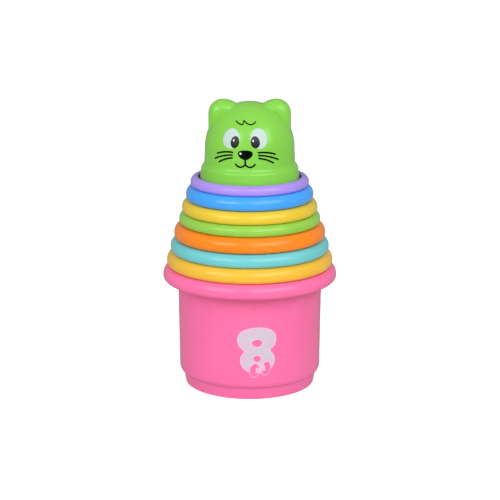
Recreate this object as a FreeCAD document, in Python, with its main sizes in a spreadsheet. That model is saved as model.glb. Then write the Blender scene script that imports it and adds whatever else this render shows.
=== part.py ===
import FreeCAD, Part
import os

import Sketcher

# Stacking cup tower: eight nesting cups and a hollow cat head, nested as they stand on a table.
#
# The origin is on the floor plane, on the common axis of all the pieces, with +Z up. The cat
# looks along -Y, and so does a numeral before its cup is turned. Every cup follows one family
# rule: its wall, foot and height step down evenly from the largest cup, and only the rim has
# sizes of its own.

LARGEST_CUP = 8
CUPS = tuple(range(LARGEST_CUP, 0, -1))

# Rim of each cup, in mm: the outer radius and the height from its underside to its flat top.
RIM_RADIUS = {8: 46.0, 7: 43.9, 6: 41.9, 5: 39.9, 4: 37.2, 3: 35.7, 2: 33.5, 1: 31.1}
RIM_HEIGHT = {8: 7.75, 7: 7.75, 6: 6.8, 5: 8.25, 4: 5.85, 3: 6.6, 2: 7.4, 1: 5.1}

DRIVING_SIZES = {
    # the largest cup, and how the next smaller one differs
    "largest_height": 64.25,
    "height_step": 3.0,
    "largest_wall_radius": 38.1,
    "wall_radius_step": 1.46,
    "wall_thickness": 1.2,
    "wall_slope": 0.0128,
    # foot, underside and shoulder of every cup
    "foot_inset": 3.7,
    "foot_top_inset": 2.7,
    "foot_height": 6.2,
    "shoulder_height": 9.7,
    "foot_edge_round": 0.6,
    "foot_ring_width": 3.2,
    "underside_recess": 0.8,
    "gate_radius": 2.5,
    "gate_depth": 0.3,
    "floor_thickness": 1.5,
    "floor_corner_round": 1.6,
    "drain_radius": 2.0,
    "drain_circle": 12.0,
    "drain_count": 3,
    # rim of every cup
    "underside_share": 0.31,
    "top_share": 0.58,
    "mouth_inset": 0.85,
    "mouth_edge_round": 0.8,
    "rim_bead": 3.2,
    "rim_top_thickness": 2.6,
    "seat_gap": 0.03,
    # ribs that centre a cup in the mouth of the next
    "rib_count": 18,
    "rib_length": 10.6,
    "rib_stand": 0.48,
    "rib_root": 0.5,
    "rib_tip_sink": 0.05,
    "rib_crest_half_width": 1.8,
    "rib_tip_half_width": 0.7,
    "rib_flank": 1.1,
    # cat head
    "skirt_radius": 26.8,
    "skirt_top_radius": 25.42,
    "skirt_height": 11.2,
    "skirt_round": 2.4,
    "neck_radius": 23.75,
    "neck_round": 3.2,
    "dome_radius": 23.4,
    "dome_centre_height": 20.7,
    "head_wall": 1.4,
    "ear_reach": 21.5,
    "ear_top_reach": 14.2,
    "ear_height": 45.3,
    "ear_outer_round": 7.5,
    "ear_inner_round": 13.0,
    "ear_inner_reach": 4.5,
    "ear_root_height": 27.0,
    "ear_thickness": 12.4,
    "ear_edge_round": 5.2,
    "ear_wall": 2.5,
    # how far the largest cup is turned about the axis, in degrees
    "largest_cup_turn": 6.5,
}

NEARLY_NOTHING = 1e-3

document = FreeCAD.newDocument("stacking_cup_tower")
sizes = document.addObject("Spreadsheet::Sheet", "sizes")


def fill_sheet():
    """One row per driving size: its name, its plain number and an alias of the same name."""
    rows = dict(DRIVING_SIZES)
    for cup in CUPS:
        rows[f"rim_radius_{cup}"] = RIM_RADIUS[cup]
        rows[f"rim_height_{cup}"] = RIM_HEIGHT[cup]
    for row, (name, value) in enumerate(rows.items(), start=1):
        sizes.set(f"A{row}", name)
        sizes.set(f"B{row}", str(value))
        sizes.setAlias(f"B{row}", name)
    document.recompute()


def number(expression):
    """The present value of an expression, used only to place new geometry before it is bound."""
    return float(sizes.evalExpression(expression))


def origin_feature(body, role):
    return next(item for item in body.Origin.OriginFeatures if item.Role == role)


def new_body(label):
    body = document.addObject("PartDesign::Body", label)
    body.Label = label
    body.AllowCompound = True
    return body


def new_sketch(body, name, plane, height=None):
    """A sketch on one of the body's origin planes, raised along the plane's normal if asked."""
    sketch = body.newObject("Sketcher::SketchObject", name)
    sketch.AttachmentSupport = [(origin_feature(body, plane), "")]
    sketch.MapMode = "FlatFace"
    if height:
        sketch.setExpression(".AttachmentOffset.Base.z", height)
    return sketch


def bind(sketch, constraint, expression):
    """Adds a dimensional constraint and ties it to the sheet."""
    index = sketch.addConstraint(constraint)
    sketch.setExpression(f"Constraints[{index}]", expression)


def arc_between(start, end, radius, centre_on_left):
    """The short arc from start to end, and whether its own direction is the direction of travel."""
    middle = (start + end) * 0.5
    along = end - start
    left = FreeCAD.Vector(-along.y, along.x, 0).normalize()
    offset = max(radius**2 - (along.Length / 2) ** 2, 0) ** 0.5
    centre = middle + left * (offset if centre_on_left else -offset)
    first, last = (start, end) if centre_on_left else (end, start)
    x_axis = FreeCAD.Vector(1, 0, 0)
    angles = []
    for point in (first, last):
        spoke = point - centre
        angle = spoke.getAngle(x_axis)
        angles.append(angle if spoke.y >= 0 else -angle)
    circle = Part.Circle(centre, FreeCAD.Vector(0, 0, 1), radius)
    return Part.ArcOfCircle(circle, angles[0], angles[1])


def draw_outline(sketch, corners):
    """Draws one closed outline. Each corner is (across, up) or (across, up, radius, centre side).

    All sizes are expressions. A corner with a radius starts an arc that ends at the next corner,
    with its centre to the "left" or "right" of the way round.
    """
    points = [FreeCAD.Vector(number(corner[0]), number(corner[1]), 0) for corner in corners]
    ends = []
    for index, corner in enumerate(corners):
        start, end = points[index], points[(index + 1) % len(points)]
        if len(corner) == 2:
            side = sketch.addGeometry(Part.LineSegment(start, end), False)
            ends.append((side, 1, 2))
        else:
            on_left = corner[3] == "left"
            arc = arc_between(start, end, number(corner[2]), on_left)
            side = sketch.addGeometry(arc, False)
            ends.append((side, 1, 2) if on_left else (side, 2, 1))
    for index, (side, _, last) in enumerate(ends):
        following, first, _ = ends[(index + 1) % len(ends)]
        sketch.addConstraint(Sketcher.Constraint("Coincident", side, last, following, first))
    for (side, first, _), corner, point in zip(ends, corners, points):
        across = Sketcher.Constraint("DistanceX", -1, 1, side, first, point.x)
        up = Sketcher.Constraint("DistanceY", -1, 1, side, first, point.y)
        bind(sketch, across, corner[0])
        bind(sketch, up, corner[1])
        if len(corner) > 2:
            radius = Sketcher.Constraint("Radius", side, number(corner[2]))
            bind(sketch, radius, corner[2])


def add_feature(body, kind, name, **settings):
    """Adds a PartDesign feature and recomputes, so that the next feature can read its shape."""
    feature = body.newObject(f"PartDesign::{kind}", name)
    for key, value in settings.items():
        setattr(feature, key, value)
    body.Tip = feature
    document.recompute()
    return feature


def revolve(body, kind, name, sketch):
    """A full turn about the body's own vertical axis: a Revolution adds and a Groove removes."""
    return add_feature(
        body, kind, name, Profile=sketch, ReferenceAxis=(sketch, ["V_Axis"]), Angle=360.0
    )


def repeat_round(body, name, original, count):
    """Repeats a feature evenly round the vertical axis, as many times as the sheet says."""
    pattern = body.newObject("PartDesign::PolarPattern", name)
    pattern.Originals = [original]
    pattern.Axis = (origin_feature(body, "Z_Axis"), [""])
    pattern.Angle = 360.0
    pattern.setExpression("Occurrences", count)
    body.Tip = pattern
    document.recompute()
    return pattern


def must_shrink(before, feature):
    """Stops if a cut removed nothing, which a feature that points away does without an error."""
    if feature.Shape.Volume >= before - NEARLY_NOTHING:
        raise RuntimeError(f"{feature.Name} removed nothing")


def cup_sizes(cup):
    """The expressions for one cup, in its own frame with its foot standing at height 0."""
    steps = LARGEST_CUP - cup
    size = {
        "height": f"(sizes.largest_height - {steps} * sizes.height_step)",
        "wall": f"(sizes.largest_wall_radius - {steps} * sizes.wall_radius_step)",
        "rim": f"sizes.rim_radius_{cup}",
        "rim_height": f"sizes.rim_height_{cup}",
    }
    size["rim_bottom"] = f"({size['height']} - {size['rim_height']})"
    size["foot"] = f"({size['wall']} - sizes.foot_inset)"
    size["foot_top"] = f"({size['wall']} - sizes.foot_top_inset)"
    size["wall_low"] = (
        f"({size['wall']} - sizes.wall_slope * ({size['rim_bottom']} - sizes.shoulder_height))"
    )
    size["mouth"] = f"({size['wall']} - sizes.mouth_inset)"
    return size


def shoulder_radius(inner, outer, low, high):
    """Radius of an arc from (inner, low) up to (outer, high) that arrives there upright."""
    return f"((({outer}) - ({inner}))^2 + (({high}) - ({low}))^2) / (2 * (({outer}) - ({inner})))"


def cup_section(size):
    """The half section of a cup: underside, foot, shoulder, wall, rim, seat, inside and floor."""
    thickness = "sizes.wall_thickness"
    recess = "sizes.underside_recess"
    edge = "sizes.foot_edge_round"
    floor = "(sizes.underside_recess + sizes.floor_thickness)"
    corner = "sizes.floor_corner_round"
    shoulder = "sizes.shoulder_height"
    ring = f"{size['foot']} - sizes.foot_ring_width"
    gate = f"{recess} + sizes.gate_depth"
    under_round = f"sizes.underside_share * {size['rim_height']}"
    top_round = f"sizes.top_share * {size['rim_height']}"
    mouth_round = "sizes.mouth_edge_round"
    inner_foot = f"({size['foot']} - {thickness})"
    inner_foot_top = f"({size['foot_top']} - {thickness})"
    inner_low = f"({size['wall_low']} - {thickness})"
    inner_step = f"(sizes.foot_height + {thickness})"
    outer_arc = shoulder_radius(size["foot_top"], size["wall_low"], "sizes.foot_height", shoulder)
    inner_arc = shoulder_radius(inner_foot_top, inner_low, inner_step, shoulder)
    return [
        ("0", gate),
        ("sizes.gate_radius", gate),
        ("sizes.gate_radius", recess),
        (f"{ring} - {recess}", recess),
        (ring, "0"),
        (f"{size['foot']} - {edge}", "0", edge, "left"),
        (size["foot"], edge),
        (size["foot_top"], "sizes.foot_height", outer_arc, "left"),
        (size["wall_low"], shoulder),
        (size["wall"], size["rim_bottom"]),
        (f"{size['rim']} - {under_round}", size["rim_bottom"], under_round, "left"),
        (size["rim"], f"{size['rim_bottom']} + {under_round}"),
        (size["rim"], f"{size['height']} - {top_round}", top_round, "left"),
        (f"{size['rim']} - {top_round}", size["height"]),
        (f"{size['mouth']} + {mouth_round}", size["height"], mouth_round, "left"),
        (size["mouth"], f"{size['height']} - {mouth_round}"),
        (size["mouth"], size["rim_bottom"]),
        (f"{size['wall']} - {thickness}", size["rim_bottom"]),
        (inner_low, shoulder, inner_arc, "right"),
        (inner_foot_top, inner_step),
        (inner_foot, f"{floor} + {corner}", corner, "right"),
        (f"{inner_foot} - {corner}", floor),
        ("0", floor),
    ]


def cut_rim_channel(body, size):
    """Hollows the wide rims from below, which leaves an outer bead and a leg beside the mouth."""
    leg = f"({size['mouth']} + sizes.wall_thickness)"
    bead = f"({size['rim']} - sizes.rim_bead)"
    roof = f"({size['height']} - sizes.rim_top_thickness)"
    narrowest_channel = number("sizes.wall_thickness")
    if number(f"{bead} - {leg}") < narrowest_channel:
        return
    before = body.Shape.Volume
    sketch = new_sketch(body, "rim_channel_section", "XZ_Plane")
    draw_outline(
        sketch,
        [(leg, size["rim_bottom"]), (bead, size["rim_bottom"]), (bead, roof), (leg, roof)],
    )
    must_shrink(before, revolve(body, "Groove", "rim_channel", sketch))


def add_ribs(body, size):
    """Wedge ribs below the rim, wide at the top. Each narrows and fades into the wall below."""
    root = "sizes.rib_root"
    lower_wall = f"({size['wall']} - sizes.wall_slope * sizes.rib_length)"

    def wedge_section(name, height, crest_half_width, wall, stand):
        """A low wedge across the rib: buried root, sloping flanks and a flat crest."""
        sketch = new_sketch(body, name, "XY_Plane", height)
        foot = f"({crest_half_width} + sizes.rib_flank)"
        buried = f"-({wall} - {root})"
        crest = f"-({wall} + {stand})"
        draw_outline(
            sketch,
            [
                (f"-{foot}", buried),
                (f"-{crest_half_width}", crest),
                (crest_half_width, crest),
                (foot, buried),
            ],
        )
        return sketch

    top = wedge_section(
        "rib_top",
        f"{size['rim_bottom']} + {root}",
        "sizes.rib_crest_half_width",
        size["wall"],
        "sizes.rib_stand",
    )
    tip = wedge_section(
        "rib_tip",
        f"{size['rim_bottom']} - sizes.rib_length",
        "sizes.rib_tip_half_width",
        lower_wall,
        "-sizes.rib_tip_sink",
    )
    rib = add_feature(body, "AdditiveLoft", "rib", Profile=top, Sections=[tip], Ruled=True)
    repeat_round(body, "ribs", rib, "sizes.rib_count")


def cut_drains(body):
    """Round drain and vent holes through the floor."""
    before = body.Shape.Volume
    sketch = new_sketch(body, "drain_circle", "XY_Plane")
    away = number("sizes.drain_circle")
    radius = number("sizes.drain_radius")
    centre = FreeCAD.Vector(0, -away, 0)
    hole = sketch.addGeometry(Part.Circle(centre, FreeCAD.Vector(0, 0, 1), radius), False)
    sketch.addConstraint(Sketcher.Constraint("PointOnObject", hole, 3, -2))
    bind(sketch, Sketcher.Constraint("DistanceY", hole, 3, -1, 1, away), "sizes.drain_circle")
    bind(sketch, Sketcher.Constraint("Radius", hole, radius), "sizes.drain_radius")
    drain = add_feature(body, "Pocket", "drain", Profile=sketch, Type="ThroughAll", Reversed=True)
    must_shrink(before, drain)
    repeat_round(body, "drains", drain, "sizes.drain_count")


def place(body, height, turn):
    """Stands a piece on the common axis at its height in the nest, turned about that axis."""
    body.Placement = FreeCAD.Placement(
        FreeCAD.Vector(0, 0, number(height)),
        FreeCAD.Rotation(FreeCAD.Vector(0, 0, 1), number(turn)),
    )
    body.setExpression("Placement.Base.z", height)
    body.setExpression("Placement.Rotation.Angle", turn)


def make_cup(cup, rim_seat, turn):
    """One cup whose rim rests at the height rim_seat. The largest cup stands on the floor."""
    body = new_body(f"cup_{cup}")
    size = cup_sizes(cup)
    section = new_sketch(body, "section", "XZ_Plane")
    draw_outline(section, cup_section(size))
    revolve(body, "Revolution", "cup_shell", section)
    cut_rim_channel(body, size)
    add_ribs(body, size)
    cut_drains(body)
    place(body, f"{rim_seat} - {size['rim_bottom']}", turn)
    return body


def head_section():
    """The outside of the head without ears: flared skirt, soft S-shaped step, neck, round dome."""
    step = "(sizes.skirt_top_radius - sizes.neck_radius)"
    rounds = "(sizes.skirt_round + sizes.neck_round)"
    rise = f"sqrt({step} * (2 * {rounds} - {step}))"
    skirt_share = f"sizes.skirt_round / {rounds}"
    step_bottom = f"(sizes.skirt_height - {rise} / 2)"
    return [
        ("0", "0"),
        ("sizes.skirt_radius", "0"),
        ("sizes.skirt_top_radius", step_bottom, "sizes.skirt_round", "left"),
        (
            f"sizes.skirt_top_radius - {step} * {skirt_share}",
            f"{step_bottom} + {rise} * {skirt_share}",
            "sizes.neck_round",
            "right",
        ),
        ("sizes.neck_radius", f"sizes.skirt_height + {rise} / 2"),
        ("sizes.dome_radius", "sizes.dome_centre_height", "sizes.dome_radius", "left"),
        ("0", "sizes.dome_centre_height + sizes.dome_radius"),
    ]


def head_hollow_section():
    """The inside of the head: the outside moved in by the wall, open at the bottom."""
    wall = "sizes.head_wall"
    inner_skirt = f"sizes.skirt_height - {wall}"
    inner_dome = f"(sizes.dome_radius - {wall})"
    return [
        ("0", "0"),
        (f"sizes.skirt_radius - {wall}", "0"),
        (f"sizes.skirt_top_radius - {wall}", inner_skirt),
        (f"sizes.neck_radius - {wall}", inner_skirt),
        (inner_dome, "sizes.dome_centre_height", inner_dome, "left"),
        ("0", f"sizes.dome_centre_height + {inner_dome}"),
    ]


def ear_outline(side, wall):
    """One ear seen from the front, moved in by wall: upright outside, round top, long inner slope.

    side is "" for the ear at +X and "-" for the other, which is drawn the other way round.
    """
    outer = f"(sizes.ear_outer_round - {wall})"
    inner = f"(sizes.ear_inner_round - {wall})"
    top = f"(sizes.ear_height - {wall})"
    reach = f"(sizes.ear_inner_reach + {wall})"
    drop = f"(sizes.ear_top_reach - {reach})"
    inner_height = f"({top} - {inner} + sqrt({inner}^2 - {drop}^2))"
    if side == "":
        return [
            (f"sizes.ear_reach - {wall}", "sizes.ear_root_height"),
            (f"sizes.ear_reach - {wall}", f"{top} - {outer}", outer, "left"),
            ("sizes.ear_top_reach", top, inner, "left"),
            (reach, inner_height),
            (reach, "sizes.ear_root_height"),
        ]
    return [
        (f"-{reach}", "sizes.ear_root_height"),
        (f"-{reach}", inner_height, inner, "left"),
        ("-sizes.ear_top_reach", top, outer, "left"),
        (f"-(sizes.ear_reach - {wall})", f"{top} - {outer}"),
        (f"-(sizes.ear_reach - {wall})", "sizes.ear_root_height"),
    ]


def faces_across(shape):
    """Names of the flat faces that look along Y, which are an ear's front and back."""
    names = []
    for index, face in enumerate(shape.Faces, start=1):
        flat = face.Surface.TypeId == "Part::GeomPlane"
        if flat and face.normalAt(0, 0).cross(FreeCAD.Vector(0, 1, 0)).Length < NEARLY_NOTHING:
            names.append(f"Face{index}")
    return names


def make_cat_head(seat):
    """A one-piece head, hollow from below, that drops into the mouth of the smallest cup."""
    body = new_body("cat_head")
    ears = new_sketch(body, "ears_outline", "XZ_Plane")
    hollow_ears = new_sketch(body, "ears_hollow_outline", "XZ_Plane")
    for side in ("", "-"):
        draw_outline(ears, ear_outline(side, "0"))
        draw_outline(hollow_ears, ear_outline(side, "sizes.ear_wall"))

    pad = add_feature(body, "Pad", "ears", Profile=ears, Midplane=True)
    pad.setExpression("Length", "sizes.ear_thickness")
    document.recompute()
    rounded = add_feature(body, "Fillet", "ears_rounded", Base=(pad, faces_across(pad.Shape)))
    rounded.setExpression("Radius", "sizes.ear_edge_round")
    document.recompute()

    outside = new_sketch(body, "head_section", "XZ_Plane")
    draw_outline(outside, head_section())
    solid_head = revolve(body, "Revolution", "head_solid", outside)

    ear_cut = add_feature(body, "Pocket", "ears_hollow", Profile=hollow_ears, Midplane=True)
    ear_cut.setExpression("Length", "sizes.ear_thickness - 2 * sizes.ear_wall")
    document.recompute()
    must_shrink(solid_head.Shape.Volume, ear_cut)

    inside = new_sketch(body, "head_hollow_section", "XZ_Plane")
    draw_outline(inside, head_hollow_section())
    must_shrink(ear_cut.Shape.Volume, revolve(body, "Groove", "head_hollow", inside))
    place(body, seat, "0")
    return body


def make_tower():
    """Nests the cups from the largest to the smallest and sets the head in the smallest mouth."""
    pieces = []
    seat = f"sizes.largest_height - sizes.rim_height_{LARGEST_CUP}"
    for cup in CUPS:
        turn = "sizes.largest_cup_turn" if cup == LARGEST_CUP else "0"
        pieces.append(make_cup(cup, f"({seat})", turn))
        ledge = seat
        seat = f"{seat} + sizes.rim_height_{cup} + sizes.seat_gap"
    pieces.append(make_cat_head(f"{ledge} + sizes.seat_gap"))
    return pieces


def check(pieces):
    """Stops with the names of failed objects, so that nothing is written from a broken model."""
    failed = [item.Name for item in document.Objects if {"Invalid", "Error"} & set(item.State)]
    if failed:
        raise RuntimeError(f"failed objects: {', '.join(failed)}")
    for piece in pieces:
        shape = piece.Shape
        if shape.isNull() or not shape.isValid() or len(shape.Solids) != 1:
            raise RuntimeError(f"{piece.Label} is not one valid solid")


fill_sheet()
tower = make_tower()
document.recompute()
check(tower)
os.makedirs("parts", exist_ok=True)
for piece in tower:
    piece.Shape.exportStep(f"parts/{piece.Label}.step")
    print(piece.Label, round(piece.Shape.Volume, 1), piece.Shape.BoundBox)
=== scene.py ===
import math

import bmesh
import bpy
import numpy as np
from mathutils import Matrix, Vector
from mathutils.bvhtree import BVHTree


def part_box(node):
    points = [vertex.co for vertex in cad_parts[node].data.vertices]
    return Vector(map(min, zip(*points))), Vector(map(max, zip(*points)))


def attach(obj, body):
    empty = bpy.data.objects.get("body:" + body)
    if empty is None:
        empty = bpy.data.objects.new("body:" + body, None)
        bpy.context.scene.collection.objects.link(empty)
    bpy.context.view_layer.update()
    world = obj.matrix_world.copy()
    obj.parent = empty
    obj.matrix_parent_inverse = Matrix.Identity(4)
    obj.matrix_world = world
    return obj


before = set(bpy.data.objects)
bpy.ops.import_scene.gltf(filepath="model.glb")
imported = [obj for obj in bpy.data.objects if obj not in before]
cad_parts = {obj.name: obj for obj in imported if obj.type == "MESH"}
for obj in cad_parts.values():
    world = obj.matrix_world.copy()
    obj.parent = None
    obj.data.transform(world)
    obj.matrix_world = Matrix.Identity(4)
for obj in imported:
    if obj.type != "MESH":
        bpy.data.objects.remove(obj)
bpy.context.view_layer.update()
MM = 0.001

# The camera's place: how far away, how high above the horizon, what it looks at and its lens.
CAMERA_DISTANCE = 0.8594
CAMERA_ELEVATION = math.radians(14.32)
CAMERA_TARGET = Vector((0.00015, 0.0, 0.0716))
CAMERA_LENS, CAMERA_SENSOR = 116.6, 36.0
CAMERA_NEAR, CAMERA_FAR = 0.01, 20.0

# The light tent: where along the view it changes, the light it gives at the (back, front), the
# light that glossy surfaces mirror there, and the white that the camera sees beyond the floor.
TENT_BACK_Y, TENT_FRONT_Y = 0.6, -0.7
TENT_LIGHT = (0.42, 0.78)
TENT_MIRRORED = (0.3, 0.2)
TENT_SEEN = 1.0
WHITE = (1.0, 1.0, 1.0, 1.0)

# Softboxes: bearing to the right of the front, elevation, width, height and radiance.
SOFTBOX_DISTANCE = 0.95
SOFTBOXES = {
    "softbox_right": (32.0, 35.0, 0.95, 0.60, 2.45),
    "softbox_left": (-41.0, 30.0, 0.64, 0.50, 2.7),
}

# The floor glows a little, so that it stays pale up to the top of the picture.
FLOOR_HALF_WIDTH = 12.0
FLOOR_GLOW, FLOOR_ROUGHNESS, PAPER_GRAIN = 0.53, 0.8, 90.0
PAPER_DARK, PAPER_LIGHT = (0.93, 0.93, 0.935, 1.0), (0.97, 0.97, 0.97, 1.0)

# Prints are drawn flat in mm: across is the distance round the piece from the way the print
# looks, and up is the height above the piece's foot. The face is printed a little off the middle
# between the ears, and the largest cup stands turned about the vertical axis. Both in degrees.
FACE_TURN = -6.5
LARGEST_CUP_TURN = 6.5
HEAD_RADIUS = 23.4 * MM
LARGEST_CUP = 8
CUPS = range(LARGEST_CUP, 0, -1)
LARGEST_WALL_RADIUS, WALL_RADIUS_STEP = 38.1 * MM, 1.46 * MM
WALL_RADIUS = {
    cup: LARGEST_WALL_RADIUS - WALL_RADIUS_STEP * (LARGEST_CUP - cup) for cup in CUPS
}

# Half widths of pen strokes, the spacing of the grids that prints are cut from, how near to a grid
# corner an outline may run as a share of the spacing, and the straight pieces in bends and arcs.
PEN, TUFT_PEN, RING_PEN, FAN_PEN = 0.44, 0.31, 0.12, 0.22
FINE_GRID, MIDDLE_GRID, COARSE_GRID = 0.10, 0.15, 0.22
NEAREST_TO_CORNER = 0.02
CURVE_STEPS, ARC_STEPS = 12, 16

# The face. Ovals are (across, up, half width, half height, tilt); bends are (start, pull, end),
# and straight lines (start, end). The nose is (across, up, half width, rise, fall). The smile and
# the whiskers are given for the right-hand side, counted from the middle line, and mirrored in it.
# The pupils turn from black to grey between two heights, a painted sheen. Each area is (low corner,
# high corner).
EYE_WHITES = ((-7.68, 28.1, 4.9, 4.95), (7.67, 28.3, 4.7, 5.0))
PUPILS = ((-5.3, 26.5, 2.35, 3.0, -9.0), (5.6, 26.6, 2.4, 3.0, 9.0))
PUPIL_SHEEN_FADE = (25.0, 29.5)
GLINTS = ((-5.95, 27.3, 0.33, 0.6), (4.5, 27.3, 0.33, 0.6), (-2.05, 20.85, 0.52, 0.52))
MIDDLE_LINE = 0.4
NOSE = (MIDDLE_LINE, 20.8, 3.85, 1.75, 3.2)
NOSE_TOP_POWER, NOSE_TIP_POWER = 2.4, 1.75
UPPER_LIP = ((MIDDLE_LINE, 18.2), (MIDDLE_LINE, 15.1))
SMILE = ((0.0, 15.2), (2.6, 12.5), (4.95, 15.3))
WHISKERS = (
    ((6.65, 21.3), (11.3, 21.7), (16.1, 19.9)),
    ((6.9, 19.9), (12.0, 19.6), (17.7, 17.1)),
    ((6.95, 18.4), (11.0, 17.9), (14.7, 15.6)),
)
TUFT_LEFT = ((-6.95, 36.45), (-4.15, 34.85), (-1.65, 35.05))
TUFT_TIP = ((-1.65, 35.05), (-1.5, 36.85))
TUFT_RIGHT = ((-1.5, 36.85), (3.35, 33.45), (6.75, 36.3))
EYES_AREA = ((-14.0, 21.5), (14.0, 34.5))
MOUTH_AREA = ((-19.0, 12.0), (19.0, 23.5))
TUFT_AREA = ((-9.0, 33.0), (9.0, 38.0))
GLINTS_AREA = ((-9.0, 19.0), (9.0, 29.5))

# The numeral 8: two fat bowls, each with its tilt and power, and a waist, their counters, the
# ovals at the lower edge, the fans in the ovals as (across, up, how far away they join the ring),
# and how wide the pale edge is.
EIGHT_BOWLS = ((-0.55, 33.3, 10.3, 6.85, 2.0, 2.25), (-0.2, 22.2, 9.25, 7.0, 0.0, 2.1))
EIGHT_WAIST = (-0.35, 27.5, 7.3, 1.7)
EIGHT_COUNTERS = ((-0.5, 31.65, 2.65, 1.9), (-0.5, 23.25, 1.95, 1.6))
EIGHT_OVALS = ((-1.75, 16.9, 2.55, 3.75, -8.0), (4.3, 17.8, 2.4, 3.75, -12.0))
EIGHT_FANS = ((-0.4, 17.35, 0.9), (3.0, 18.45, -0.9))
FAN_HALF_SIZE = (0.85, 1.15)
FAN_FINGERS, FINGER_LENGTH = (-0.95, 0.0, 0.8), 1.85
EIGHT_AREA = ((-12.0, 11.5), (12.0, 41.0))
EDGE_WIDTH = 0.28

# The plain numerals: pen, middle and half the size of their area, at the size of the largest cup.
NUMERAL_PEN, NUMERAL_MIDDLE = 2.9, 27.0
NUMERAL_HALF_AREA = (12.0, 15.0)

# Ink films: how far each layer stands off the plastic, and how far the film's root is sunk.
INK_STAND = 0.045 * MM
INK_ROOT = 0.10 * MM


# ---------------------------------------------------------------- colours and materials


def linear(red, green, blue):
    """A colour given as 0 to 255 screen values, as the linear colour the shaders use.

    The numbers are those of the standard sRGB curve.
    """
    values = []
    for value in (red, green, blue):
        value /= 255
        values.append(value / 12.92 if value <= 0.04045 else ((value + 0.055) / 1.055) ** 2.4)
    return (*values, 1.0)


class Shader:
    """A node material under construction, with its principled shader and short ways to add nodes."""

    def __init__(self, name):
        self.material = bpy.data.materials.new(name)
        self.material.use_nodes = True
        self.nodes = self.material.node_tree.nodes
        self.links = self.material.node_tree.links
        self.principled = self.nodes["Principled BSDF"]
        self.place = self.nodes.new("ShaderNodeTexCoord").outputs["Object"]

    def link(self, output, socket):
        self.links.new(output, socket)

    def noise(self, scale, place=None):
        node = self.nodes.new("ShaderNodeTexNoise")
        node.inputs["Scale"].default_value = scale
        node.inputs["Detail"].default_value = NOISE_DETAIL
        self.link(place or self.place, node.inputs["Vector"])
        return node.outputs["Fac"]

    def between(self, value, low, high, from_low=0.0, from_high=1.0):
        """Maps a value from one range to another, held inside it."""
        node = self.nodes.new("ShaderNodeMapRange")
        node.inputs["From Min"].default_value = from_low
        node.inputs["From Max"].default_value = from_high
        node.inputs["To Min"].default_value = low
        node.inputs["To Max"].default_value = high
        self.link(value, node.inputs["Value"])
        return node.outputs["Result"]

    def mix(self, factor, first, second):
        """Mixes two colours, each a fixed colour or another node's output."""
        node = self.nodes.new("ShaderNodeMix")
        node.data_type = "RGBA"
        sockets = [item for item in node.inputs if item.type == "RGBA"]
        for socket, colour in zip(sockets, (first, second)):
            if isinstance(colour, tuple):
                socket.default_value = colour
            else:
                self.link(colour, socket)
        self.link(factor, node.inputs[0])
        return next(item for item in node.outputs if item.type == "RGBA")

    def maths(self, operation, first, second):
        node = self.nodes.new("ShaderNodeMath")
        node.operation = operation
        for socket, value in zip(node.inputs, (first, second)):
            if isinstance(value, float):
                socket.default_value = value
            else:
                self.link(value, socket)
        return node.outputs[0]

    def bump(self, height, distance, strength, under=None):
        node = self.nodes.new("ShaderNodeBump")
        node.inputs["Distance"].default_value = distance
        node.inputs["Strength"].default_value = strength
        self.link(height, node.inputs["Height"])
        if under:
            self.link(under, node.inputs["Normal"])
        return node.outputs["Normal"]


def shade(colour, factor):
    return tuple(min(value * factor, 1.0) for value in colour[:3]) + (1.0,)


def towards_white(colour, share):
    return tuple(value + (1.0 - value) * share for value in colour[:3]) + (1.0,)


# Noise scales are counts per metre. Each effect's reach is (low, high) or a share of the whole.
NOISE_DETAIL = 2.0
CLOUD_SCALE, PIGMENT_DARKER, PIGMENT_PALER = 42.0, 0.96, 0.01
GRAIN_SCALE, GRAIN_SHARE, GRAIN_DARKER = 1500.0, 0.25, 0.93
SKIN_SCALE, SKIN_ROUGHNESS = 130.0, (0.15, 0.21)
SINK_SCALE, SINK_DEPTH, SINK_STRENGTH = 28.0, 0.4 * MM, 0.25
PEEL_SCALE, PEEL_DEPTH, PEEL_STRENGTH = 650.0, 0.02 * MM, 0.5
MIDDLE_OF_NOISE = (0.3, 0.7)
UPPER_NOISE = (0.4, 0.8)
PIECE_DRIFT = Vector((0.37, 0.11, 0.23))
GLOW_THROUGH, GLOW_REACH, GLOW_TINT = 0.35, 1.2 * MM, (1.0, 0.9, 0.85)
PLASTIC_IOR = 1.49

INK_PATCH_SCALE, INK_DRIFT_SCALE = 700.0, 160.0
THIN_PATCHES, THIN_DRIFTS, DRIFT_SHARE = (0.35, 0.75), (0.4, 0.7), 0.6
INK_ROUGHNESS, INK_BUMP, INK_BUMP_STRENGTH = (0.32, 0.44), 0.01 * MM, 0.4
INK_SHINE, BLACK_SHINE = 0.3, 0.05

# Patchiness: how much of what lies under an ink shows through its thinnest places.
EYE_PATCHES, BLACK_PATCHES, PUPIL_PATCHES, GLINT_PATCHES = 0.10, 0.01, 0.3, 0.2
EIGHT_EDGE_PATCHES, EIGHT_PATCHES, NUMERAL_PATCHES = 0.2, 0.22, 0.15


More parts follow.
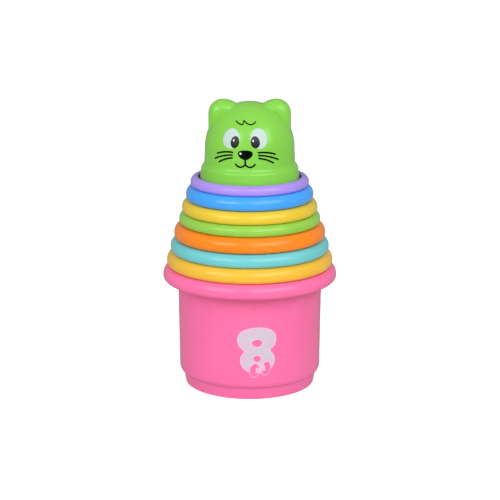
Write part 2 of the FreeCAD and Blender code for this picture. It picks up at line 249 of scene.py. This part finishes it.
def moulded_plastic(name, colour, seed):
    """Glossy coloured polypropylene: slightly cloudy pigment, fine grain and a soft, uneven skin."""
    shader = Shader(name)
    surface = shader.principled
    moved = shader.nodes.new("ShaderNodeVectorMath")
    moved.inputs[1].default_value = PIECE_DRIFT * seed
    shader.link(shader.place, moved.inputs[0])
    place = moved.outputs["Vector"]

    cloud = shader.between(shader.noise(CLOUD_SCALE, place=place), 0.0, 1.0, *MIDDLE_OF_NOISE)
    pigment = shader.mix(cloud, shade(colour, PIGMENT_DARKER), towards_white(colour, PIGMENT_PALER))
    grain = shader.between(
        shader.noise(GRAIN_SCALE, place=place), 0.0, GRAIN_SHARE, *UPPER_NOISE
    )
    grained = shader.mix(grain, pigment, shade(colour, GRAIN_DARKER))
    shader.link(grained, surface.inputs["Base Color"])

    skin = shader.between(shader.noise(SKIN_SCALE, place=place), *SKIN_ROUGHNESS)
    shader.link(skin, surface.inputs["Roughness"])
    sink = shader.bump(shader.noise(SINK_SCALE, place=place), SINK_DEPTH, SINK_STRENGTH)
    peel_height = shader.noise(PEEL_SCALE, place=place)
    peel = shader.bump(peel_height, PEEL_DEPTH, PEEL_STRENGTH, under=sink)
    shader.link(peel, surface.inputs["Normal"])

    surface.inputs["Subsurface Weight"].default_value = GLOW_THROUGH
    surface.inputs["Subsurface Radius"].default_value = GLOW_TINT
    surface.inputs["Subsurface Scale"].default_value = GLOW_REACH
    surface.inputs["IOR"].default_value = PLASTIC_IOR
    return shader.material


def printed_ink(name, colour, under, patchiness, shine=INK_SHINE, upper=None):
    """Pad-printed ink: thin enough that the plastic's colour shows through in small patches.

    upper is (colour, low, high) for an ink that changes to another colour between two heights.
    """
    shader = Shader(name)
    surface = shader.principled
    if upper:
        upper_colour, low, high = upper
        split = shader.nodes.new("ShaderNodeSeparateXYZ")
        shader.link(shader.place, split.inputs[0])
        rise = shader.between(split.outputs["Z"], 0.0, 1.0, low, high)
        colour = shader.mix(rise, colour, upper_colour)
    patches = shader.noise(INK_PATCH_SCALE)
    drifts = shader.noise(INK_DRIFT_SCALE)
    thin = shader.between(patches, 0.0, patchiness, *THIN_PATCHES)
    thinner = shader.between(drifts, 0.0, patchiness * DRIFT_SHARE, *THIN_DRIFTS)
    shown = shader.maths("ADD", thin, thinner)
    shader.link(shader.mix(shown, colour, under), surface.inputs["Base Color"])
    shader.link(shader.between(patches, *INK_ROUGHNESS), surface.inputs["Roughness"])
    surface.inputs["Specular IOR Level"].default_value = shine
    raised = shader.bump(patches, INK_BUMP, INK_BUMP_STRENGTH)
    shader.link(raised, surface.inputs["Normal"])
    return shader.material


PLASTIC_COLOURS = {
    "cup_8": linear(255, 115, 170),
    "cup_7": linear(243, 190, 57),
    "cup_6": linear(113, 202, 206),
    "cup_5": linear(255, 136, 14),
    "cup_4": linear(148, 205, 78),
    "cup_3": linear(231, 198, 50),
    "cup_2": linear(66, 164, 247),
    "cup_1": linear(172, 143, 236),
    "cat_head": linear(131, 205, 72),
}
EYE_WHITE_INK = linear(186, 205, 203)
NUMERAL_INK = linear(201, 198, 213)
NUMERAL_EDGE_INK = linear(252, 196, 224)
GLINT_INK = linear(250, 252, 255)
BLACK_INK = linear(2, 5, 2)
# the pupils' black ink, and the grey of the painted sheen that lightens their tops
PUPIL_INK, PUPIL_PAINTED_SHEEN_INK = linear(15, 16, 21), linear(62, 64, 72)

for seed, (node, colour) in enumerate(PLASTIC_COLOURS.items()):
    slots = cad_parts[node].material_slots
    for slot in slots:
        slot.material = moulded_plastic(f"{node}_plastic", colour, seed)


# ---------------------------------------------------------------- shapes printed on a surface

# A shape is a function of flat positions (across, up) in mm that is negative inside the shape.


def ellipse(across, up, half_width, half_height, tilt=0.0, power=2.0):
    """An oval, tilted anticlockwise in degrees. A power above 2 makes it squarer."""
    turn = math.radians(tilt)

    def shape(x, y):
        dx, dy = x - across, y - up
        along = (dx * math.cos(turn) + dy * math.sin(turn)) / half_width
        over = (dy * math.cos(turn) - dx * math.sin(turn)) / half_height
        reach = (np.abs(along) ** power + np.abs(over) ** power) ** (1 / power)
        return (reach - 1.0) * min(half_width, half_height)

    return shape


def drop(across, up, half_width, rise, fall):
    """A rounded triangle on its point: a flat oval above its widest line, a narrowing one below."""
    upper = ellipse(across, up, half_width, rise, power=NOSE_TOP_POWER)
    lower = ellipse(across, up, half_width, fall, power=NOSE_TIP_POWER)
    return lambda x, y: np.where(y > up, upper(x, y), lower(x, y))


def stroke(points, half_width):
    """A pen stroke of even width with round ends along a run of points."""

    def shape(x, y):
        nearest = np.full(x.shape, np.inf)
        for (x0, y0), (x1, y1) in zip(points, points[1:]):
            dx, dy = x1 - x0, y1 - y0
            share = ((x - x0) * dx + (y - y0) * dy) / (dx * dx + dy * dy)
            share = np.clip(share, 0.0, 1.0)
            distance = np.hypot(x - x0 - share * dx, y - y0 - share * dy)
            nearest = np.minimum(nearest, distance)
        return nearest - half_width

    return shape


def curve(start, middle, end):
    """Points along a bend that leaves start towards middle and arrives at end."""
    points = []
    for step in range(CURVE_STEPS + 1):
        share = step / CURVE_STEPS
        weights = ((1 - share) ** 2, 2 * share * (1 - share), share**2)
        axes = zip(start, middle, end)
        points.append(tuple(sum(w * value for w, value in zip(weights, axis)) for axis in axes))
    return points


def arc(across, up, half_width, half_height, first, last):
    """Points along part of an oval, from the angle first to the angle last in degrees."""
    points = []
    for step in range(ARC_STEPS + 1):
        angle = math.radians(first + (last - first) * step / ARC_STEPS)
        points.append((across + half_width * math.cos(angle), up + half_height * math.sin(angle)))
    return points


def union(*shapes):
    return lambda x, y: np.minimum.reduce([shape(x, y) for shape in shapes])


def without(shape, *holes):
    return lambda x, y: np.maximum.reduce([shape(x, y)] + [-hole(x, y) for hole in holes])


def outline_of(shape, half_width):
    return lambda x, y: np.abs(shape(x, y)) - half_width


def grown(shape, margin):
    """The shape made larger by a margin all round, or smaller by a negative one."""
    return lambda x, y: shape(x, y) - margin


def flat_mesh(shape, low, high, step):
    """Cuts the shape out of a square grid. Returns flat points and the faces between them.

    Grid corners inside the shape are kept, and each crossing of an edge of the grid becomes a
    point on the outline, placed by how far the shape is from it at both ends.
    """
    columns = int(math.ceil((high[0] - low[0]) / step))
    rows = int(math.ceil((high[1] - low[1]) / step))
    xs = low[0] + step * np.arange(columns + 1)
    ys = low[1] + step * np.arange(rows + 1)
    grid_x, grid_y = np.meshgrid(xs, ys, indexing="ij")
    values = shape(grid_x, grid_y)
    too_close = step * NEAREST_TO_CORNER
    values[np.abs(values) < too_close] = too_close
    points, faces, known = [], [], {}

    def point(key, x, y):
        if key not in known:
            known[key] = len(points)
            points.append((x, y))
        return known[key]

    busy = np.argwhere(
        (values[:-1, :-1] < 0) | (values[1:, :-1] < 0) | (values[1:, 1:] < 0) | (values[:-1, 1:] < 0)
    )
    for i, j in busy:
        ring = ((i, j), (i + 1, j), (i + 1, j + 1), (i, j + 1))
        face = []
        for (a, b), (c, d) in zip(ring, ring[1:] + ring[:1]):
            here, there = values[a, b], values[c, d]
            if here < 0:
                face.append(point((a, b), xs[a], ys[b]))
            if (here < 0) != (there < 0):
                share = here / (here - there)
                x = xs[a] + share * (xs[c] - xs[a])
                y = ys[b] + share * (ys[d] - ys[b])
                face.append(point((min((a, b), (c, d)), max((a, b), (c, d))), x, y))
        if len(face) > 2:
            faces.append(face)
    return points, faces


class Printer:
    """Lays flat shapes on the outside of a CAD node, as a film that follows its surface.

    Flat x is the distance round the node at the given radius, counted from the way the node
    looks, and flat y is the height above the node's lowest point.
    """

    def __init__(self, node, turn, radius):
        self.node = node
        self.turn = math.radians(turn)
        self.radius = radius
        self.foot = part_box(node)[0][2]
        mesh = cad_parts[node].data
        self.tree = BVHTree.FromPolygons(
            [vertex.co.copy() for vertex in mesh.vertices],
            [tuple(polygon.vertices) for polygon in mesh.polygons],
        )

    def surface_point(self, x, y):
        """The point of the node's outside at a flat position, and the way out from there."""
        angle = x * MM / self.radius + self.turn
        out = Vector((math.sin(angle), -math.cos(angle), 0.0))
        height = Vector((0.0, 0.0, self.foot + y * MM))
        start = height + out * self.radius * 2
        point, normal, _, _ = self.tree.ray_cast(start, -out)
        if normal.dot(out) < 0:
            normal = -normal
        return point, normal

    def lay(self, name, shape, area, step, material, layer=1):
        """Makes the shape a closed film of ink. A higher layer lies on top of a lower one."""
        flat_points, flat_faces = flat_mesh(shape, *area, step)
        mesh = bmesh.new()
        tops, roots = [], []
        for x, y in flat_points:
            point, normal = self.surface_point(x, y)
            tops.append(mesh.verts.new(point + normal * INK_STAND * layer))
            roots.append(mesh.verts.new(point - normal * INK_ROOT))
        open_sides = {}
        for face in flat_faces:
            mesh.faces.new([tops[index] for index in face])
            mesh.faces.new([roots[index] for index in reversed(face)])
            for a, b in zip(face, face[1:] + face[:1]):
                if (b, a) in open_sides:
                    del open_sides[(b, a)]
                else:
                    open_sides[(a, b)] = True
        for a, b in open_sides:
            mesh.faces.new([tops[b], tops[a], roots[a], roots[b]])
        data = bpy.data.meshes.new(name)
        mesh.normal_update()
        mesh.to_mesh(data)
        mesh.free()
        data.materials.append(material)
        film = bpy.data.objects.new(name, data)
        bpy.context.scene.collection.objects.link(film)
        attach(film, self.node)


# ---------------------------------------------------------------- the cat's face


def smile_and_whiskers():
    lines = [stroke(UPPER_LIP, PEN)]
    for side in (-1, 1):
        for bend in (SMILE, *WHISKERS):
            points = [(MIDDLE_LINE + side * across, up) for across, up in bend]
            lines.append(stroke(curve(*points), PEN))
    return union(*lines)


def print_face():
    """Eyes, nose, mouth, whiskers and a tuft of hair, printed on the front of the head."""
    head = Printer("cat_head", FACE_TURN, HEAD_RADIUS)
    green = PLASTIC_COLOURS["cat_head"]
    # painted sheen: the pupils' ink turns grey towards their tops
    sheen_low, sheen_high = (head.foot + up * MM for up in PUPIL_SHEEN_FADE)
    white = printed_ink("eye_white_ink", EYE_WHITE_INK, green, EYE_PATCHES)
    black = printed_ink("black_ink", BLACK_INK, green, BLACK_PATCHES, shine=BLACK_SHINE)
    pupil_painted_sheen = (PUPIL_PAINTED_SHEEN_INK, sheen_low, sheen_high)
    pupil_ink_and_sheen = printed_ink("pupil_ink_and_sheen", PUPIL_INK, BLACK_INK, PUPIL_PATCHES, upper=pupil_painted_sheen)
    glint = printed_ink("glint_ink", GLINT_INK, EYE_WHITE_INK, GLINT_PATCHES)

    whites = union(*[ellipse(*oval) for oval in EYE_WHITES])
    pupils = union(*[ellipse(*oval) for oval in PUPILS])
    glints = union(*[ellipse(*oval) for oval in GLINTS])
    nose_and_lines = union(drop(*NOSE), smile_and_whiskers())
    tuft = union(
        stroke(curve(*TUFT_LEFT), TUFT_PEN),
        stroke(TUFT_TIP, TUFT_PEN),
        stroke(curve(*TUFT_RIGHT), TUFT_PEN),
    )
    head.lay("eye_whites", whites, EYES_AREA, COARSE_GRID, white)
    head.lay("pupils", pupils, EYES_AREA, MIDDLE_GRID, pupil_ink_and_sheen, layer=2)
    head.lay("nose_mouth_whiskers", nose_and_lines, MOUTH_AREA, MIDDLE_GRID, black)
    head.lay("hair_tuft", tuft, TUFT_AREA, FINE_GRID, black)
    head.lay("glints", glints, GLINTS_AREA, FINE_GRID, glint, layer=3)


print_face()


# ---------------------------------------------------------------- numerals


def eight():
    """The fat numeral 8, with a pair of tilted ovals at its lower edge and a small fan in each."""
    bowls = [ellipse(*bowl) for bowl in EIGHT_BOWLS]
    body = union(*bowls, ellipse(*EIGHT_WAIST))
    ovals = [ellipse(*oval) for oval in EIGHT_OVALS]
    holes = [ellipse(*counter) for counter in EIGHT_COUNTERS] + ovals
    rings = [outline_of(oval, RING_PEN) for oval in ovals]
    fans = []
    for across, up, join in EIGHT_FANS:
        fans.append(ellipse(across, up, *FAN_HALF_SIZE))
        fans.append(stroke([(across, up), (across + join, up)], FAN_PEN))
        for finger in FAN_FINGERS:
            tip = (across + finger, up - FINGER_LENGTH)
            fans.append(stroke([(across, up), tip], FAN_PEN))
    return union(without(body, *holes), *rings, *fans)


# The numerals 1 to 7 about their own middles, in mm at the size of the largest cup. Each is one or
# more runs of the pen, made of points and arcs.
PLAIN_NUMERALS = {
    1: [[(-3.6, 7.4), (0.4, 10.4), (0.4, -10.4)]],
    2: [arc(0, 5.2, 5.2, 5.3, 165, -35) + [(-5.0, -10.2), (5.4, -10.2)]],
    3: [arc(-0.5, 5.3, 5.0, 5.1, 150, -85), arc(-0.5, -5.2, 5.6, 5.3, 85, -150)],
    4: [[(2.8, -10.4), (2.8, 10.4), (-6.0, -3.6), (6.6, -3.6)]],
    5: [[(4.8, 10.2), (-3.6, 10.2), (-4.2, 1.2)] + arc(-0.6, -4.2, 5.8, 6.0, 120, -150)],
    6: [arc(3.4, -4.6, 8.6, 14.8, 90, 180), arc(0, -4.6, 5.2, 5.6, 0, 360)],
    7: [[(-5.4, 10.2), (5.4, 10.2), (-1.8, -10.4)]],
}


def print_eight():
    """A pale pink ink with a greyer ink on top of it, which leaves a light edge all round."""
    pink = PLASTIC_COLOURS["cup_8"]
    edge_ink = printed_ink("numeral_8_edge_ink", NUMERAL_EDGE_INK, pink, EIGHT_EDGE_PATCHES)
    ink = printed_ink("numeral_8_ink", NUMERAL_INK, pink, EIGHT_PATCHES)
    cup = Printer("cup_8", LARGEST_CUP_TURN, LARGEST_WALL_RADIUS)
    cup.lay("numeral_8_edge", eight(), EIGHT_AREA, MIDDLE_GRID, edge_ink)
    cup.lay("numeral_8", grown(eight(), -EDGE_WIDTH), EIGHT_AREA, COARSE_GRID, ink, layer=2)


def print_plain_numeral(cup):
    """The numeral of a smaller cup, scaled to its wall."""
    scale = WALL_RADIUS[cup] / LARGEST_WALL_RADIUS
    middle = NUMERAL_MIDDLE * scale
    half_across, half_up = (scale * half for half in NUMERAL_HALF_AREA)
    area = ((-half_across, middle - half_up), (half_across, middle + half_up))
    full_size = union(*[stroke(run, NUMERAL_PEN) for run in PLAIN_NUMERALS[cup]])
    colour = PLASTIC_COLOURS[f"cup_{cup}"]
    ink = printed_ink(f"numeral_{cup}_ink", NUMERAL_INK, colour, NUMERAL_PATCHES)
    Printer(f"cup_{cup}", 0.0, WALL_RADIUS[cup]).lay(
        f"numeral_{cup}",
        lambda x, y: full_size(x / scale, (y - middle) / scale) * scale,
        area,
        COARSE_GRID,
        ink,
    )


print_eight()
for cup in CUPS[1:]:
    print_plain_numeral(cup)


# ---------------------------------------------------------------- floor, light and camera


def add_floor():
    """A plain pale floor, wide enough to reach past the top of the picture."""
    half = FLOOR_HALF_WIDTH
    data = bpy.data.meshes.new("floor")
    corners = [(-half, -half, 0), (half, -half, 0), (half, half, 0), (-half, half, 0)]
    data.from_pydata(corners, [], [(0, 1, 2, 3)])
    floor = bpy.data.objects.new("floor", data)
    bpy.context.scene.collection.objects.link(floor)
    shader = Shader("floor_paper")
    surface = shader.principled
    paper = shader.mix(shader.noise(PAPER_GRAIN), PAPER_DARK, PAPER_LIGHT)
    shader.link(paper, surface.inputs["Base Color"])
    surface.inputs["Roughness"].default_value = FLOOR_ROUGHNESS
    surface.inputs["Emission Color"].default_value = PAPER_LIGHT
    surface.inputs["Emission Strength"].default_value = FLOOR_GLOW
    # clear from below, so that the underside of the tower can be seen through it
    from_below = shader.nodes.new("ShaderNodeNewGeometry").outputs["Backfacing"]
    shader.link(shader.maths("SUBTRACT", 1.0, from_below), surface.inputs["Alpha"])
    data.materials.append(shader.material)
    # seen by the camera, but open to the light of the tent from below
    floor.visible_diffuse = floor.visible_glossy = floor.visible_shadow = False


def add_softbox(name, azimuth, elevation, width, height, radiance):
    """A rectangular area light that looks at the middle of the tower from a bearing off the front."""
    data = bpy.data.lights.new(name, "AREA")
    data.shape = "RECTANGLE"
    data.size, data.size_y = width, height
    # the power that gives a flat lamp of this size the wanted radiance
    data.energy = radiance * math.pi * width * height
    lamp = bpy.data.objects.new(name, data)
    bpy.context.scene.collection.objects.link(lamp)
    bearing, lift = math.radians(azimuth), math.radians(elevation)
    away = Vector(
        (
            math.sin(bearing) * math.cos(lift),
            -math.cos(bearing) * math.cos(lift),
            math.sin(lift),
        )
    )
    lamp.location = CAMERA_TARGET + away * SOFTBOX_DISTANCE
    lamp.rotation_euler = (-away).to_track_quat("-Z", "Y").to_euler()


def add_world():
    """A light tent that is brighter in front of the tower, and plain white to the camera.

    Glossy surfaces mirror it the other way round: the light background shows at the edges of
    each piece, and the space round the camera is dim.
    """
    world = bpy.data.worlds.new("studio")
    world.use_nodes = True
    nodes, links = world.node_tree.nodes, world.node_tree.links
    direction = nodes.new("ShaderNodeTexCoord").outputs["Generated"]
    split = nodes.new("ShaderNodeSeparateXYZ")
    links.new(direction, split.inputs[0])
    ray = nodes.new("ShaderNodeLightPath")
    pick = nodes.new("ShaderNodeMix")
    links.new(ray.outputs["Is Glossy Ray"], pick.inputs["Factor"])
    for socket, (back, front) in (("A", TENT_LIGHT), ("B", TENT_MIRRORED)):
        ramp = nodes.new("ShaderNodeMapRange")
        ramp.interpolation_type = "SMOOTHSTEP"
        ramp.inputs["From Min"].default_value = TENT_BACK_Y
        ramp.inputs["From Max"].default_value = TENT_FRONT_Y
        ramp.inputs["To Min"].default_value = back
        ramp.inputs["To Max"].default_value = front
        links.new(split.outputs["Y"], ramp.inputs["Value"])
        links.new(ramp.outputs["Result"], pick.inputs[socket])
    seen = nodes.new("ShaderNodeMix")
    links.new(ray.outputs["Is Camera Ray"], seen.inputs["Factor"])
    links.new(pick.outputs["Result"], seen.inputs["A"])
    seen.inputs["B"].default_value = TENT_SEEN
    nodes["Background"].inputs["Color"].default_value = WHITE
    links.new(seen.outputs["Result"], nodes["Background"].inputs["Strength"])
    bpy.context.scene.world = world


def add_camera():
    data = bpy.data.cameras.new("camera")
    data.lens = CAMERA_LENS
    data.sensor_width = CAMERA_SENSOR
    data.clip_start, data.clip_end = CAMERA_NEAR, CAMERA_FAR
    camera = bpy.data.objects.new("camera", data)
    bpy.context.scene.collection.objects.link(camera)
    back = Vector((0.0, -math.cos(CAMERA_ELEVATION), math.sin(CAMERA_ELEVATION)))
    camera.location = CAMERA_TARGET + back * CAMERA_DISTANCE
    camera.rotation_euler = (-back).to_track_quat("-Z", "Y").to_euler()
    bpy.context.scene.camera = camera


add_floor()
add_world()
for name, setting in SOFTBOXES.items():
    add_softbox(name, *setting)
add_camera()
bpy.context.scene.view_settings.view_transform = "Standard"
